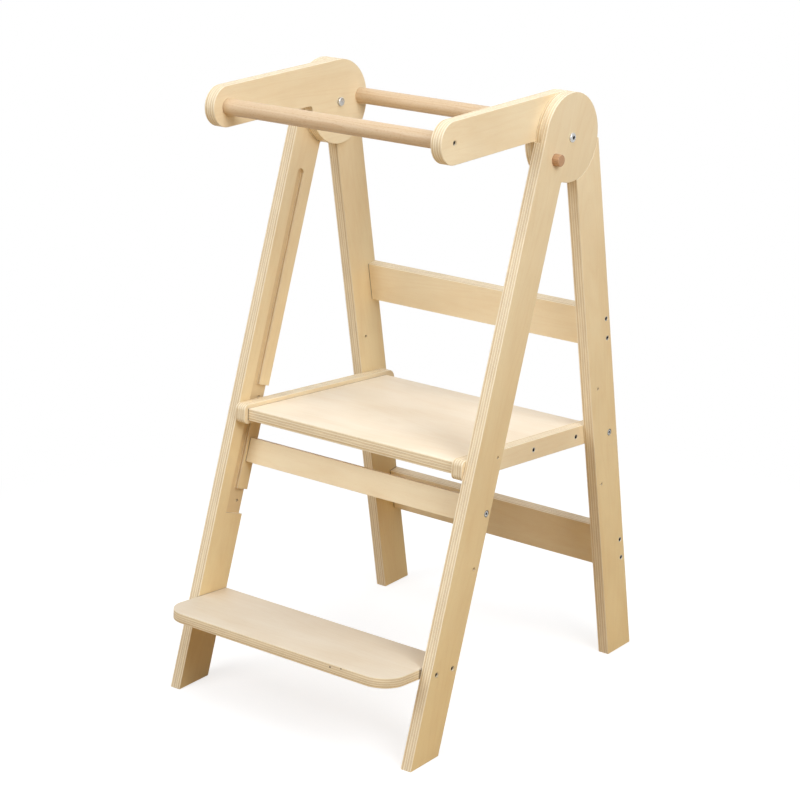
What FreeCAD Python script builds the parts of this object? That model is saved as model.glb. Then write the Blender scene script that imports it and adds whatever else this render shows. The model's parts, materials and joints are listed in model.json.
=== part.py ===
"""Folding A-frame helper stool for a toddler, in birch plywood and beech.

Millimetres, +Z up.  The front faces -Y, and +X is to the right seen from the front.
The shapes are drawn with the head pivot at Y = 0, Z = 0 and moved to the floor at the end.

A leg is drawn in its own lines: "along" runs down the leg from the head pivot, and "off" is the
distance behind the pivot, square to the leg.  "lean" is the leg's angle from upright, negative
where the foot is forward of the head.
"""
import FreeCAD, Part
import math
import os
from FreeCAD import Vector

# ---------------------------------------------------------------- overall
outer_width = 460.0        # over the outer faces of the legs
ply = 18.0                 # birch plywood of every flat piece
pivot_height = 837.0       # head pivot above the floor
head_radius = 64.0         # round heads of the legs and of the arms
front_lean = -20.25        # degrees, front legs
rear_lean = 7.9            # degrees, rear legs
deck_tilt = 5.6            # degrees, platform and step fall towards the back

# ---------------------------------------------------------------- clearances
lap_gap = 0.3              # between the two halves of a leg's lapped head
side_gap = 0.5             # between pieces that swing past each other
hole_fit = 0.05            # round a screw in its hole
pivot_fit = 0.08           # round a pin that something turns on
slot_fit = 0.3             # each side of a pin or peg in its slot
past = 1.0                 # how far a cut starts outside the face that it goes into
same_place = 0.01          # two places nearer than this are one

# ---------------------------------------------------------------- legs
leg_width = 60.0
crotch_radius = 3.0        # inner corner between the head and the leg
lap_tip = 20.0             # below the pivot, where the lap's thin tip is cut off square
lap_tip_depth = 15.0       # how far in from the edge that square cut reaches

# guide groove in the inner face of each front leg, with two side notches
groove_off = 30.0          # centre of the groove behind the leg's front edge
groove_width = 14.4
groove_depth = 6.0
groove_top = 111.0         # along, from the head pivot to the rounded end
groove_end = 641.0         # along, to the square end
notch_height = 38.0
notch_steps = (442.0, 603.0)   # along, top of each notch
notch_hole_off = 49.0      # support hole in the middle of each notch
notch_hole_radius = 2.6

# spare holes in each rear leg
spare_holes = ((399.0, 18.5), (554.0, 12.0))   # along, behind the leg's front edge
spare_hole_radius = 2.4

# ---------------------------------------------------------------- rails and crossbar
upper_rail_height = 60.0
upper_rail_along = 314.0   # centre, from the head pivot
lower_rail_height = 68.0
lower_rail_along = 683.0
rail_screw_pitch = 31.0
crossbar_height = 37.0
crossbar_along = 542.0

# ---------------------------------------------------------------- step
step_ply = 15.0
step_depth = 138.0
step_height = 133.0        # top face above the floor, at the front leg's centre line
step_corner = 38.0         # rounded front corners
step_screw_pitch = 37.0

# ---------------------------------------------------------------- platform
bar_height = 30.0
bar_pivot_along = 480.0    # platform pivot, down the rear leg
bar_pivot_off = 41.0       # platform pivot, behind the rear leg's front edge
bar_length = 346.0         # from the platform pivot to the front end
bar_corner = 9.0           # rounded front end
board_start = 8.0          # from the platform pivot to the board's back edge
board_end = 338.0          # from the platform pivot to the board's front edge
bar_screws_from = 62.0     # first screw, from the platform pivot
bar_screw_pitch = 109.0
bar_screw_count = 3
guide_pin_radius = 3.0
guide_pin_length = 16.0
roller_end = 2.0           # wall at the closed end of each guide roller

# ---------------------------------------------------------------- handrail
arm_width = 60.0
arm_length = 279.0         # from the head pivot to the front end
arm_corner = 5.0           # inner corner between the arm and its round head
dowel_radius = 12.0
back_dowel = (48.0, 2.0)   # behind and above the head pivot

# ---------------------------------------------------------------- pegs
peg_radius = 8.5
peg_circle = 47.5          # distance from the head pivot
peg_angle = 211.0          # degrees, from straight back, turning over the top
peg_proud = 10.5           # stands out of the head
peg_reach = 9.0            # into the arm's blind slot
peg_slot_depth = 10.0
peg_bevel = 1.2
fold_travel = rear_lean - front_lean     # the legs close until they lie side by side
handrail_travel = 110.0

# ---------------------------------------------------------------- metal
pivot_radius = 5.0
pivot_head_radius = 7.0
pivot_head_height = 2.6
pivot_head_bevel = 1.4
pivot_socket = 5.0         # across the flats of the key socket
pivot_socket_floor = 0.4
pivot_nut_radius = 6.5
pivot_nut_height = 3.0     # threaded length
pivot_nut_cap = 1.2        # closed end over the thread
pivot_nut_bevel = 0.9
bolt_radius = 3.0
bolt_head_radius = 5.0
bolt_head_height = 3.0
bolt_socket = 4.0
bolt_socket_floor = 0.8    # metal left under the socket
bolt_sink = 3.4            # depth of the counterbore over a bolt's head
bolt_length = 50.0
cross_nut_radius = 5.0     # round nut lying across the end of the crossbar
cross_nut_length = 14.0
pivot_nut_disc = 6.0       # round nut let into the side bar
pivot_nut_disc_height = 3.0
screw_radius = 2.2
screw_head_radius = 3.8
screw_head_height = 2.4
screw_length = 46.0
screw_sink = 0.4
deep_sink = 2.0            # where the screw heads lie deeper

# ---------------------------------------------------------------- worked out
half_width = outer_width / 2
inner_face = half_width - ply              # legs' inner faces
lap = ply / 2                              # half of a lapped head
bar_face = inner_face - side_gap           # outer face of the side bars and of the arms
board_half = bar_face - ply                # platform board and dowels reach this far
X_AXIS = Vector(1, 0, 0)


def at(lean, along, off):
    """Point of a leg: along the leg from the pivot, and off behind the pivot."""
    a = math.radians(lean)
    y = along * math.sin(a) + off * math.cos(a)
    z = -along * math.cos(a) + off * math.sin(a)
    return Vector(0, y, z)


def polar(radius, degrees, centre=Vector(0, 0, 0)):
    """Point on a circle in a side view; 0 is straight back and 90 is straight up."""
    a = math.radians(degrees)
    return centre + Vector(0, radius * math.cos(a), radius * math.sin(a))


def bearing(point):
    """Angle of a point round the head pivot, in degrees."""
    return math.degrees(math.atan2(point.z, point.y))


def line(a, b):
    return Part.LineSegment(a, b).toShape()


def arc(a, middle, b):
    return Part.Arc(a, middle, b).toShape()


def slab(edges, x_from, x_to):
    """Flat piece standing in a side view: a closed outline carried from x_from to x_to."""
    face = Part.Face(Part.Wire(Part.__sortEdges__(edges)))
    face.translate(Vector(x_from, 0, 0))
    return face.extrude(Vector(x_to - x_from, 0, 0))


def polygon(points, x_from, x_to):
    """Flat piece with straight sides."""
    loop = list(points) + [points[0]]
    return slab([line(loop[i], loop[i + 1]) for i in range(len(points))], x_from, x_to)


def strip(lean, along_from, along_to, off_from, off_to, x_from, x_to):
    """Straight piece in a leg's own lines."""
    corners = [
        at(lean, along_from, off_from),
        at(lean, along_to, off_from),
        at(lean, along_to, off_to),
        at(lean, along_from, off_to),
    ]
    return polygon(corners, x_from, x_to)


def rod(point, radius, x_from, x_to):
    """Round piece lying across the stool, through a point of a side view."""
    start = Vector(x_from, point.y, point.z)
    return Part.makeCylinder(radius, x_to - x_from, start, X_AXIS)


def hexagon(point, flats, x_from, x_to):
    """Six-sided socket lying across the stool."""
    reach = flats / 2 / math.cos(math.radians(30))
    centre = Vector(0, point.y, point.z)
    return polygon([polar(reach, 60 * i, centre) for i in range(6)], x_from, x_to)


def arc_slot(circle, from_degrees, travel, half, x_from, x_to):
    """Slot with round ends, bent round the head pivot."""
    to_degrees = from_degrees + travel
    middle = from_degrees + travel / 2
    inner = circle - half
    outer = circle + half
    first = polar(circle, from_degrees)
    last = polar(circle, to_degrees)
    edges = [
        arc(polar(outer, from_degrees), polar(outer, middle), polar(outer, to_degrees)),
        arc(polar(outer, to_degrees), polar(half, to_degrees + 90, last), polar(inner, to_degrees)),
        arc(polar(inner, to_degrees), polar(inner, middle), polar(inner, from_degrees)),
        arc(polar(inner, from_degrees), polar(half, from_degrees - 90, first),
            polar(outer, from_degrees)),
    ]
    return slab(edges, x_from, x_to)


def bevelled(shape, x_end, width):
    """A round piece with the edge of its end face at x_end bevelled off."""
    def at_end(edge):
        box = edge.BoundBox
        return abs(box.XMin - x_end) < same_place and abs(box.XMax - x_end) < same_place

    return shape.makeChamfer(width, [e for e in shape.Edges if at_end(e)])


def mirrored(shape):
    """The same piece for the other side of the stool."""
    return shape.mirror(Vector(0, 0, 0), X_AXIS)


def pair(shape):
    """A fastener and its twin on the other side, in one node."""
    return [shape, mirrored(shape)]


def group(solids):
    return Part.makeCompound(solids)


def cut(shape, tools):
    """Take several pieces away and keep the one solid that is left."""
    left = shape.cut(Part.makeCompound(tools))
    return left.Solids[0] if len(left.Solids) == 1 else left


# ---------------------------------------------------------------- screws and bolts
def screw(point, x_face, sink, grow=0.0):
    """Countersunk wood screw driven inwards from the face at x_face; grow makes its hole."""
    top = x_face - sink
    rim = screw_head_radius + grow
    core = screw_radius + grow
    cone_end = top - screw_head_height
    tip = top - screw_length
    cone = Part.makeCone(core, rim, screw_head_height, Vector(cone_end, point.y, point.z), X_AXIS)
    body = rod(point, core, tip - grow, cone_end)
    solid = cone.fuse(body).removeSplitter()
    if grow:
        solid = solid.fuse(rod(point, rim, top, x_face + past))
    return solid


def bolt(point, x_face):
    """Socket-head bolt sunk in a counterbore, driven inwards from the face at x_face."""
    top = x_face - bolt_sink + bolt_head_height
    seat = x_face - bolt_sink
    head = rod(point, bolt_head_radius, seat, top)
    shank = rod(point, bolt_radius, seat - bolt_length, seat)
    socket = hexagon(point, bolt_socket, seat + bolt_socket_floor, top + past)
    return head.fuse(shank).removeSplitter().cut(socket)


def bolt_hole(point, x_face, fit):
    """Counterbore and hole for a bolt."""
    sink = rod(point, bolt_head_radius + slot_fit, x_face - bolt_sink, x_face + past)
    return sink.fuse(rod(point, bolt_radius + fit, x_face - bolt_sink - bolt_length, x_face))


# ---------------------------------------------------------------- places
def foot_along(lean, off):
    """How far down the leg the floor is."""
    a = math.radians(lean)
    return (pivot_height + off * math.sin(a)) / math.cos(a)


def front_leg_point(along, behind_edge):
    return at(front_lean, along, behind_edge - head_radius)


def rear_leg_point(along, behind_edge):
    return at(rear_lean, along, behind_edge - leg_width + head_radius)


def rail_screw_points(along):
    half = rail_screw_pitch / 2
    return [rear_leg_point(along + s, leg_width - ply / 2) for s in (-half, half)]


bar_pivot = rear_leg_point(bar_pivot_along, bar_pivot_off)
crossbar_point = front_leg_point(crossbar_along, leg_width - ply / 2)
peg_point = polar(peg_circle, peg_angle)
back_dowel_point = Vector(0, back_dowel[0], back_dowel[1])
arm_end = Vector(0, arm_width / 2 - arm_length, head_radius - arm_width / 2)


def deck_point(forward, above):
    """Point of the platform: forward of its pivot along the bars, and above their middle."""
    a = math.radians(deck_tilt)
    y = -forward * math.cos(a) + above * math.sin(a)
    z = forward * math.sin(a) + above * math.cos(a)
    return bar_pivot + Vector(0, y, z)


def step_point(behind, above):
    """Point of the step: behind its front edge along its top, and above its middle."""
    a = math.radians(deck_tilt)
    leg_middle = front_leg_point(foot_along(front_lean, -head_radius + leg_width / 2), leg_width / 2)
    rise = step_height - step_ply / 2
    drop = math.tan(math.radians(front_lean)) * rise
    centre = leg_middle + Vector(0, -drop, rise)
    half_leg = leg_width / 2 / math.cos(math.radians(deck_tilt + front_lean))
    from_back = step_depth - behind
    y = (half_leg - from_back) * math.cos(a) + above * math.sin(a)
    z = -(half_leg - from_back) * math.sin(a) + above * math.cos(a)
    return centre + Vector(0, y, z)


def guide_forward():
    """How far along the bar its guide pin lies, so that it is in the front leg's groove."""
    direction = deck_point(1, 0) - bar_pivot
    across = at(front_lean, 0, 1)
    wanted = groove_off - head_radius
    return (wanted - bar_pivot.dot(across)) / direction.dot(across)


guide_point = deck_point(guide_forward(), 0)


# ---------------------------------------------------------------- legs
def leg_outline(lean, side):
    """Round head with the leg hanging from its edge; side is -1 in front and 1 behind."""
    outer = side * head_radius
    inner = side * (head_radius - leg_width)
    fillet_off = inner - side * crotch_radius
    reach = head_radius + crotch_radius
    fillet_along = math.sqrt(reach ** 2 - fillet_off ** 2)
    fillet_centre = at(lean, fillet_along, fillet_off)
    touch = fillet_centre * (head_radius / reach)
    top = at(lean, 0, outer)
    beyond = side * (360 - abs(bearing(touch) - bearing(top)) % 360) / 2
    crown = polar(head_radius, bearing(top) + beyond)
    leave = at(lean, fillet_along, inner)
    toward = (touch + leave) * 0.5 - fillet_centre
    corner = fillet_centre + toward * (crotch_radius / toward.Length)
    foot_inner = at(lean, foot_along(lean, inner), inner)
    foot_outer = at(lean, foot_along(lean, outer), outer)
    return [
        arc(top, crown, touch),
        arc(touch, corner, leave),
        line(leave, foot_inner),
        line(foot_inner, foot_outer),
        line(foot_outer, top),
    ]


def lap_room(lean, side, x_from, x_to):
    """Space taken out of a leg for the other leg's half of the head."""
    disc = rod(Vector(0, 0, 0), head_radius + lap_gap, x_from, x_to)
    edge = side * head_radius
    tip = strip(lean, 0, lap_tip, edge - side * lap_tip_depth, edge + side * past, x_from, x_to)
    return disc.fuse(tip)


def front_leg():
    """Right front leg: outer half of the head, guide groove and notches on the inner face."""
    leg = slab(leg_outline(front_lean, -1), inner_face, half_width)
    groove_floor = inner_face + groove_depth
    middle = groove_off - head_radius
    half = groove_width / 2
    below = inner_face - past
    cuts = [lap_room(front_lean, -1, below, half_width - lap + lap_gap / 2)]
    cuts.append(strip(front_lean, groove_top + half, groove_end, middle - half, middle + half,
                      below, groove_floor))
    cuts.append(rod(front_leg_point(groove_top + half, groove_off), half, below, groove_floor))
    rear_edge = leg_width - head_radius
    for top in notch_steps:
        cuts.append(strip(front_lean, top, top + notch_height, middle, rear_edge + past,
                          below, groove_floor))
        hole = front_leg_point(top + notch_height / 2, notch_hole_off)
        cuts.append(rod(hole, notch_hole_radius, below, half_width + past))
    cuts.append(rod(Vector(0, 0, 0), pivot_radius + hole_fit, below, half_width + past))
    cuts.append(rod(peg_point, peg_radius + pivot_fit, below, half_width + past))
    cuts.append(bolt_hole(crossbar_point, half_width, hole_fit))
    cuts += [screw(p, half_width, deep_sink, hole_fit) for p in step_screw_points()]
    return cut(leg, cuts)


def rear_leg():
    """Right rear leg: inner half of the head, with the peg's arc slot."""
    leg = slab(leg_outline(rear_lean, 1), inner_face, half_width)
    below = inner_face - past
    above = half_width + past
    cuts = [lap_room(rear_lean, 1, half_width - lap - lap_gap / 2, above)]
    cuts.append(rod(Vector(0, 0, 0), pivot_radius + pivot_fit, below, above))
    cuts.append(arc_slot(peg_circle, peg_angle, fold_travel, peg_radius + slot_fit, below, above))
    cuts += [rod(rear_leg_point(s, off), spare_hole_radius, below, above)
             for s, off in spare_holes]
    cuts.append(bolt_hole(bar_pivot, half_width, hole_fit))
    for along in (upper_rail_along, lower_rail_along):
        cuts += [screw(p, half_width, screw_sink, hole_fit) for p in rail_screw_points(along)]
    return cut(leg, cuts)


# ---------------------------------------------------------------- boards between the legs
def back_rail(along, height):
    """Rail between the rear legs, flush with their back edges, with its screw holes."""
    rail = strip(rear_lean, along - height / 2, along + height / 2, head_radius - ply, head_radius,
                 -inner_face, inner_face)
    holes = [screw(p, half_width, screw_sink, hole_fit) for p in rail_screw_points(along)]
    return cut(rail, holes + [mirrored(h) for h in holes])


def crossbar_nut_x():
    """Middle of the round nut, near the end of the crossbar bolt."""
    return half_width - bolt_sink - bolt_length + cross_nut_radius


def cross_nut():
    """Round nut lying across the crossbar, which the bolt's end goes into."""
    middle = Vector(crossbar_nut_x(), crossbar_point.y, crossbar_point.z)
    back = at(front_lean, 0, 1)
    nut = Part.makeCylinder(cross_nut_radius, cross_nut_length,
                            middle - back * (cross_nut_length / 2), back)
    return nut.cut(rod(crossbar_point, bolt_radius + hole_fit, 0, half_width))


def cross_nut_hole():
    """Hole for the round nut, open at the crossbar's back face."""
    middle = Vector(crossbar_nut_x(), crossbar_point.y, crossbar_point.z)
    back = at(front_lean, 0, 1)
    bottom = middle - back * (cross_nut_length / 2 + hole_fit)
    return Part.makeCylinder(cross_nut_radius + hole_fit, cross_nut_length + ply, bottom, back)


def front_crossbar():
    """Bar between the front legs, flush with their back edges."""
    back = leg_width - head_radius
    bar = strip(front_lean, crossbar_along - crossbar_height / 2,
                crossbar_along + crossbar_height / 2, back - ply, back, -inner_face, inner_face)
    holes = [bolt_hole(crossbar_point, half_width, hole_fit), cross_nut_hole()]
    return cut(bar, holes + [mirrored(h) for h in holes])


def step_screw_points():
    middle = step_depth - leg_width / 2
    half = step_screw_pitch / 2
    return [step_point(middle + s, 0) for s in (-half, half)]


def step_board():
    """Step between the front legs, reaching forward of them, with rounded front corners."""
    front = -step_depth
    r = step_corner
    bend = r * (1 - math.sqrt(0.5))
    w = inner_face

    def p(x, y):
        return Vector(x, y, -step_ply / 2)

    edges = [
        line(p(-w, 0), p(w, 0)),
        line(p(w, 0), p(w, front + r)),
        arc(p(w, front + r), p(w - bend, front + bend), p(w - r, front)),
        line(p(w - r, front), p(r - w, front)),
        arc(p(r - w, front), p(bend - w, front + bend), p(-w, front + r)),
        line(p(-w, front + r), p(-w, 0)),
    ]
    board = Part.Face(Part.Wire(edges)).extrude(Vector(0, 0, step_ply))
    board.rotate(Vector(0, 0, 0), X_AXIS, -deck_tilt)
    board.translate(step_point(step_depth, 0))
    holes = [screw(q, half_width, deep_sink, hole_fit) for q in step_screw_points()]
    return cut(board, holes + [mirrored(h) for h in holes])


# ---------------------------------------------------------------- platform
def bar_screw_points():
    return [deck_point(bar_screws_from + i * bar_screw_pitch, 0) for i in range(bar_screw_count)]


def side_bar():
    """Right side bar of the platform: round at its pivot, with a rounded front end."""
    h = bar_height / 2
    r = bar_corner
    bend = r * (1 - math.sqrt(0.5))
    front = bar_length
    edges = [
        line(deck_point(0, h), deck_point(front - r, h)),
        arc(deck_point(front - r, h), deck_point(front - bend, h - bend), deck_point(front, h - r)),
        line(deck_point(front, h - r), deck_point(front, r - h)),
        arc(deck_point(front, r - h), deck_point(front - bend, bend - h), deck_point(front - r, -h)),
        line(deck_point(front - r, -h), deck_point(0, -h)),
        arc(deck_point(0, -h), deck_point(-h, 0), deck_point(0, h)),
    ]
    bar = slab(edges, bar_face - ply, bar_face)
    below = bar_face - ply - past
    cuts = [rod(bar_pivot, bolt_radius + pivot_fit, below, bar_face + past)]
    cuts.append(rod(bar_pivot, pivot_nut_disc + slot_fit, below,
                    bar_face - ply + pivot_nut_disc_height + slot_fit))
    cuts.append(guide_pin(hole_fit))
    cuts += [screw(p, bar_face, screw_sink, hole_fit) for p in bar_screw_points()]
    return cut(bar, cuts)


def platform_board():
    """Standing board between the side bars, a little below their tops."""
    h = ply / 2
    corners = [deck_point(board_start, -h), deck_point(board_start, h),
               deck_point(board_end, h), deck_point(board_end, -h)]
    board = polygon(corners, -board_half, board_half)
    holes = [screw(p, bar_face, screw_sink, hole_fit) for p in bar_screw_points()]
    return cut(board, holes + [mirrored(h) for h in holes])


def pivot_nut_plate():
    """Round nut let into the side bar's inner face, on the platform pivot bolt."""
    start = bar_face - ply + hole_fit
    disc = rod(bar_pivot, pivot_nut_disc, start, start + pivot_nut_disc_height)
    return disc.cut(rod(bar_pivot, bolt_radius + hole_fit, start - past, bar_face))


def platform_bolt():
    """Bolt that the platform turns on, through the rear leg and the side bar."""
    full = bolt(bar_pivot, half_width)
    end = bar_face - ply + hole_fit
    return full.common(rod(bar_pivot, bolt_head_radius * 2, end, half_width))


def guide_roller():
    """Roller in the front leg's groove, flush with the leg's inner face, with a blind bore."""
    end = inner_face + groove_depth - slot_fit
    roller = rod(guide_point, groove_width / 2 - slot_fit, inner_face, end)
    bore = rod(guide_point, guide_pin_radius + pivot_fit, inner_face - past, end - roller_end)
    return roller.cut(bore)


def guide_pin(grow=0.0):
    """Pin in the side bar that carries the roller, shown flush with the bar; grow makes its hole."""
    start = bar_face - guide_pin_length - grow
    return rod(guide_point, guide_pin_radius + grow, start, bar_face + grow)


# ---------------------------------------------------------------- handrail
def arm():
    """Right arm: a bar with a round front end, whose top runs into a round head."""
    r = arm_width / 2
    bottom = head_radius - arm_width
    fillet_z = bottom - arm_corner
    reach = head_radius + arm_corner
    fillet_centre = Vector(0, -math.sqrt(reach ** 2 - fillet_z ** 2), fillet_z)
    touch = fillet_centre * (head_radius / reach)
    leave = Vector(0, fillet_centre.y, bottom)
    toward = (touch + leave) * 0.5 - fillet_centre
    corner = fillet_centre + toward * (arm_corner / toward.Length)
    edges = [
        line(polar(head_radius, 90), polar(r, 90, arm_end)),
        arc(polar(r, 90, arm_end), polar(r, 180, arm_end), polar(r, 270, arm_end)),
        line(polar(r, 270, arm_end), leave),
        arc(leave, corner, touch),
        arc(touch, polar(head_radius, -45), polar(head_radius, 90)),
    ]
    plate = slab(edges, bar_face - ply, bar_face)
    below = bar_face - ply - past
    cuts = [rod(Vector(0, 0, 0), pivot_radius + pivot_fit, below, bar_face + past)]
    cuts.append(arc_slot(peg_circle, peg_angle, handrail_travel, peg_radius + slot_fit,
                         bar_face - peg_slot_depth, bar_face + past))
    cuts += [screw(p, bar_face, deep_sink, hole_fit) for p in (arm_end, back_dowel_point)]
    return cut(plate, cuts)


def dowel(point):
    """Round rail between the arms, with its screw holes."""
    rail = rod(point, dowel_radius, -board_half, board_half)
    hole = screw(point, bar_face, deep_sink, hole_fit)
    return cut(rail, [hole, mirrored(hole)])


# ---------------------------------------------------------------- head pivots and pegs
def pivot_bolt():
    """Bolt through both halves of the leg's head and the arm, with a low round head."""
    centre = Vector(0, 0, 0)
    end = bar_face - ply - pivot_nut_height
    shank = rod(centre, pivot_radius, end, half_width)
    head = rod(centre, pivot_head_radius, half_width, half_width + pivot_head_height)
    head = bevelled(head, half_width + pivot_head_height, pivot_head_bevel)
    socket = hexagon(centre, pivot_socket, half_width + pivot_socket_floor,
                     half_width + pivot_head_height + past)
    return head.fuse(shank).removeSplitter().cut(socket)


def pivot_nut():
    """Cap nut on the inner end of the pivot bolt."""
    centre = Vector(0, 0, 0)
    face = bar_face - ply - hole_fit
    start = face - pivot_nut_height - pivot_nut_cap
    nut = bevelled(rod(centre, pivot_nut_radius, start, face), start, pivot_nut_bevel)
    return nut.cut(rod(centre, pivot_radius + hole_fit, face - pivot_nut_height - hole_fit, face))


def peg():
    """Beech peg through the head, standing in the arc slots of the rear leg and the arm."""
    start = bar_face - peg_reach
    end = half_width + peg_proud
    body = rod(peg_point, peg_radius, start, end)
    return bevelled(bevelled(body, start, peg_bevel), end, peg_bevel)


# ---------------------------------------------------------------- the whole stool
def all_pieces():
    """Every node's name and shape, drawn round the head pivot."""
    pieces = {}

    def both_sides(name, shape):
        pieces["right_" + name] = shape
        pieces["left_" + name] = mirrored(shape)

    both_sides("front_leg", front_leg())
    both_sides("rear_leg", rear_leg())
    both_sides("side_bar", side_bar())
    both_sides("handrail_arm", arm())
    both_sides("guide_roller", guide_roller())
    both_sides("locking_peg", peg())
    pieces["step_board"] = step_board()
    pieces["front_crossbar"] = front_crossbar()
    pieces["upper_back_rail"] = back_rail(upper_rail_along, upper_rail_height)
    pieces["lower_back_rail"] = back_rail(lower_rail_along, lower_rail_height)
    pieces["platform_board"] = platform_board()
    pieces["front_dowel"] = dowel(arm_end)
    pieces["back_dowel"] = dowel(back_dowel_point)

    def screws(points, x_face, sink):
        return group([s for p in points for s in pair(screw(p, x_face, sink))])

    pieces["step_screws"] = screws(step_screw_points(), half_width, deep_sink)
    pieces["upper_rail_screws"] = screws(rail_screw_points(upper_rail_along), half_width, screw_sink)
    pieces["lower_rail_screws"] = screws(rail_screw_points(lower_rail_along), half_width, screw_sink)
    pieces["side_bar_screws"] = screws(bar_screw_points(), bar_face, screw_sink)
    pieces["dowel_screws"] = screws([arm_end, back_dowel_point], bar_face, deep_sink)
    pieces["crossbar_bolts"] = group(pair(bolt(crossbar_point, half_width)))
    pieces["crossbar_nuts"] = group(pair(cross_nut()))
    pieces["platform_pivot_bolts"] = group(pair(platform_bolt()))
    pieces["platform_pivot_nuts"] = group(pair(pivot_nut_plate()))
    pieces["guide_pins"] = group(pair(guide_pin()))
    pieces["head_pivot_bolts"] = group(pair(pivot_bolt()))
    pieces["head_pivot_nuts"] = group(pair(pivot_nut()))
    return pieces


def main():
    pieces = all_pieces()
    toe = step_point(0, -step_ply / 2).y
    heel = at(rear_lean, foot_along(rear_lean, head_radius), head_radius).y
    to_floor = Vector(0, -(toe + heel) / 2, pivot_height)
    os.makedirs("parts", exist_ok=True)
    for name, shape in pieces.items():
        shape.translate(to_floor)
        shape.exportStep("parts/" + name + ".step")


main()
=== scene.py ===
"""Looks of a folding A-frame helper stool in birch plywood and beech.

Metres, +Z up.  The front faces -Y, and +X is to the right seen from the front.  Every piece is built
in the place that its node of the frame has, and rides on that node's body.
"""
import json
import math
from functools import partial

import bmesh
import bpy
import numpy as np
from mathutils import Matrix, Vector

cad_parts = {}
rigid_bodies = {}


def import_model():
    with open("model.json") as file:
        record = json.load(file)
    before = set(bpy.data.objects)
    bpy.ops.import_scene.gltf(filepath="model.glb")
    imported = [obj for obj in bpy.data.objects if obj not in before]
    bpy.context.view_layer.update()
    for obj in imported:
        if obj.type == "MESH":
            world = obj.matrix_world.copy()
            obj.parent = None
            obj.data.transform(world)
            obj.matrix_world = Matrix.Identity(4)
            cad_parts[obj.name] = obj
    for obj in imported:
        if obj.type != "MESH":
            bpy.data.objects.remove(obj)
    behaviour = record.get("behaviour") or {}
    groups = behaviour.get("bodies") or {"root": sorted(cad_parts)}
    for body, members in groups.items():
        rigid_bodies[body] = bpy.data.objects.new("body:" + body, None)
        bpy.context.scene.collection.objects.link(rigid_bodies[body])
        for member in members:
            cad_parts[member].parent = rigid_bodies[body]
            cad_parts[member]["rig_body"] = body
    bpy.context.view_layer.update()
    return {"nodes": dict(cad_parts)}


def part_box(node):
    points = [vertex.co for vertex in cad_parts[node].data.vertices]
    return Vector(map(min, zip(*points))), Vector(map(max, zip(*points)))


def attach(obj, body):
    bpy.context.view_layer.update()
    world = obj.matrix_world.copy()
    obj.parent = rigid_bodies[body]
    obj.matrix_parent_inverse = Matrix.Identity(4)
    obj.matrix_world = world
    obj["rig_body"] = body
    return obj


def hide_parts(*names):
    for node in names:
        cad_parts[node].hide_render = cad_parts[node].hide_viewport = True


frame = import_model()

bl_info = {
    "name": "Folding helper stool",
    "version": (1, 0, 0),
    "blender": (4, 5, 0),
    "location": "3D View > Sidebar > Stool",
    "description": "Dresses the frame of a folding helper stool in birch plywood, beech and steel",
    "category": "Object",
}

# ---------------- the stool's own lines
FRONT_LEAN = math.radians(-20.25)    # front legs, foot forward of the head
REAR_LEAN = math.radians(7.9)        # rear legs
DECK_TILT = math.radians(5.6)        # platform and step fall towards the back

X = Vector((1, 0, 0))
Y = Vector((0, 1, 0))
Z = Vector((0, 0, 1))
DECK_BACK = Vector((0, math.cos(DECK_TILT), -math.sin(DECK_TILT)))
DECK_UP = Vector((0, math.sin(DECK_TILT), math.cos(DECK_TILT)))

# The wood's pattern has a number, the seed, that moves it, so that no two pieces show the same
# figure.  These are the seeds of the first piece of each kind.
SEEDS = {"leg": 3, "rail": 11, "step": 17, "platform": 21, "bar": 24, "arm": 31, "dowel": 41,
         "peg": 47}
SEED_SHIFT = (1.37, 0.53)            # metres between two patterns, along and across the fibres

# How light each kind of board is drawn, beside the colours in the settings: partly the veneer's
# own tone, partly painted light and shade, which draws the step darker and the rear legs, rails,
# bars and arms lighter.
TONE_AND_PAINTED_LIGHT = {"front": 1.0, "rear": 1.05, "rail": 1.03, "step": 0.83, "platform": 1.0, "bar": 1.04,
          "arm": 1.05}

# Two small knots on the step's front edge, each with its place and its radius.
KNOTS_IN_STEP = (((0.1099, -0.2924, 0.1385), 0.0021), ((0.1296, -0.2921, 0.1412), 0.0017))

CORNER = math.radians(30)            # faces of a board that meet more sharply make a corner
GRAIN_DEPTH = 0.00012                # metres between the wood's highest and lowest fibres


def down_leg(lean):
    """Unit vector down a leg."""
    return Vector((0, math.sin(lean), -math.cos(lean)))


def behind_leg(lean):
    """Unit vector square to a leg, towards the back."""
    return Vector((0, math.cos(lean), math.sin(lean)))


def centre_of(node):
    """Middle of a node's box."""
    low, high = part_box(node)
    return (low + high) / 2


def size_of(node):
    """Width, depth and height of a node's box."""
    low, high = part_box(node)
    return high - low


def points_of(node):
    """All points of a CAD node as an array, one row each."""
    mesh = frame["nodes"][node].data
    flat = np.empty(len(mesh.vertices) * 3, np.float32)
    mesh.vertices.foreach_get("co", flat)
    return flat.reshape(-1, 3).astype(float)


def srgb(red, green, blue):
    """A colour given as it is seen on screen, 0 to 255, as the linear values that nodes take."""
    seen = np.array([red, green, blue]) / 255
    linear = np.where(seen <= 0.04045, seen / 12.92, ((seen + 0.055) / 1.055) ** 2.4)
    return tuple(float(v) for v in linear)


# ---------------- settings
def colour(name, description, value):
    return bpy.props.FloatVectorProperty(
        name=name, description=description, subtype="COLOR", size=3, min=0, max=1, default=value)


def number(name, description, least, most, value, subtype="NONE", unit="NONE"):
    return bpy.props.FloatProperty(name=name, description=description, subtype=subtype, unit=unit,
                                   min=least, max=most, default=value)


def length(name, description, least, most, value):
    return number(name, description, least, most, value, "DISTANCE", "LENGTH")


def lamp_power(name, description, value):
    return number(name, description, 0, 1000, value, "POWER", "POWER")


def turn(name, description, degrees):
    return number(name, description, -math.pi, math.pi, math.radians(degrees), "ANGLE", "ROTATION")


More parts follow.
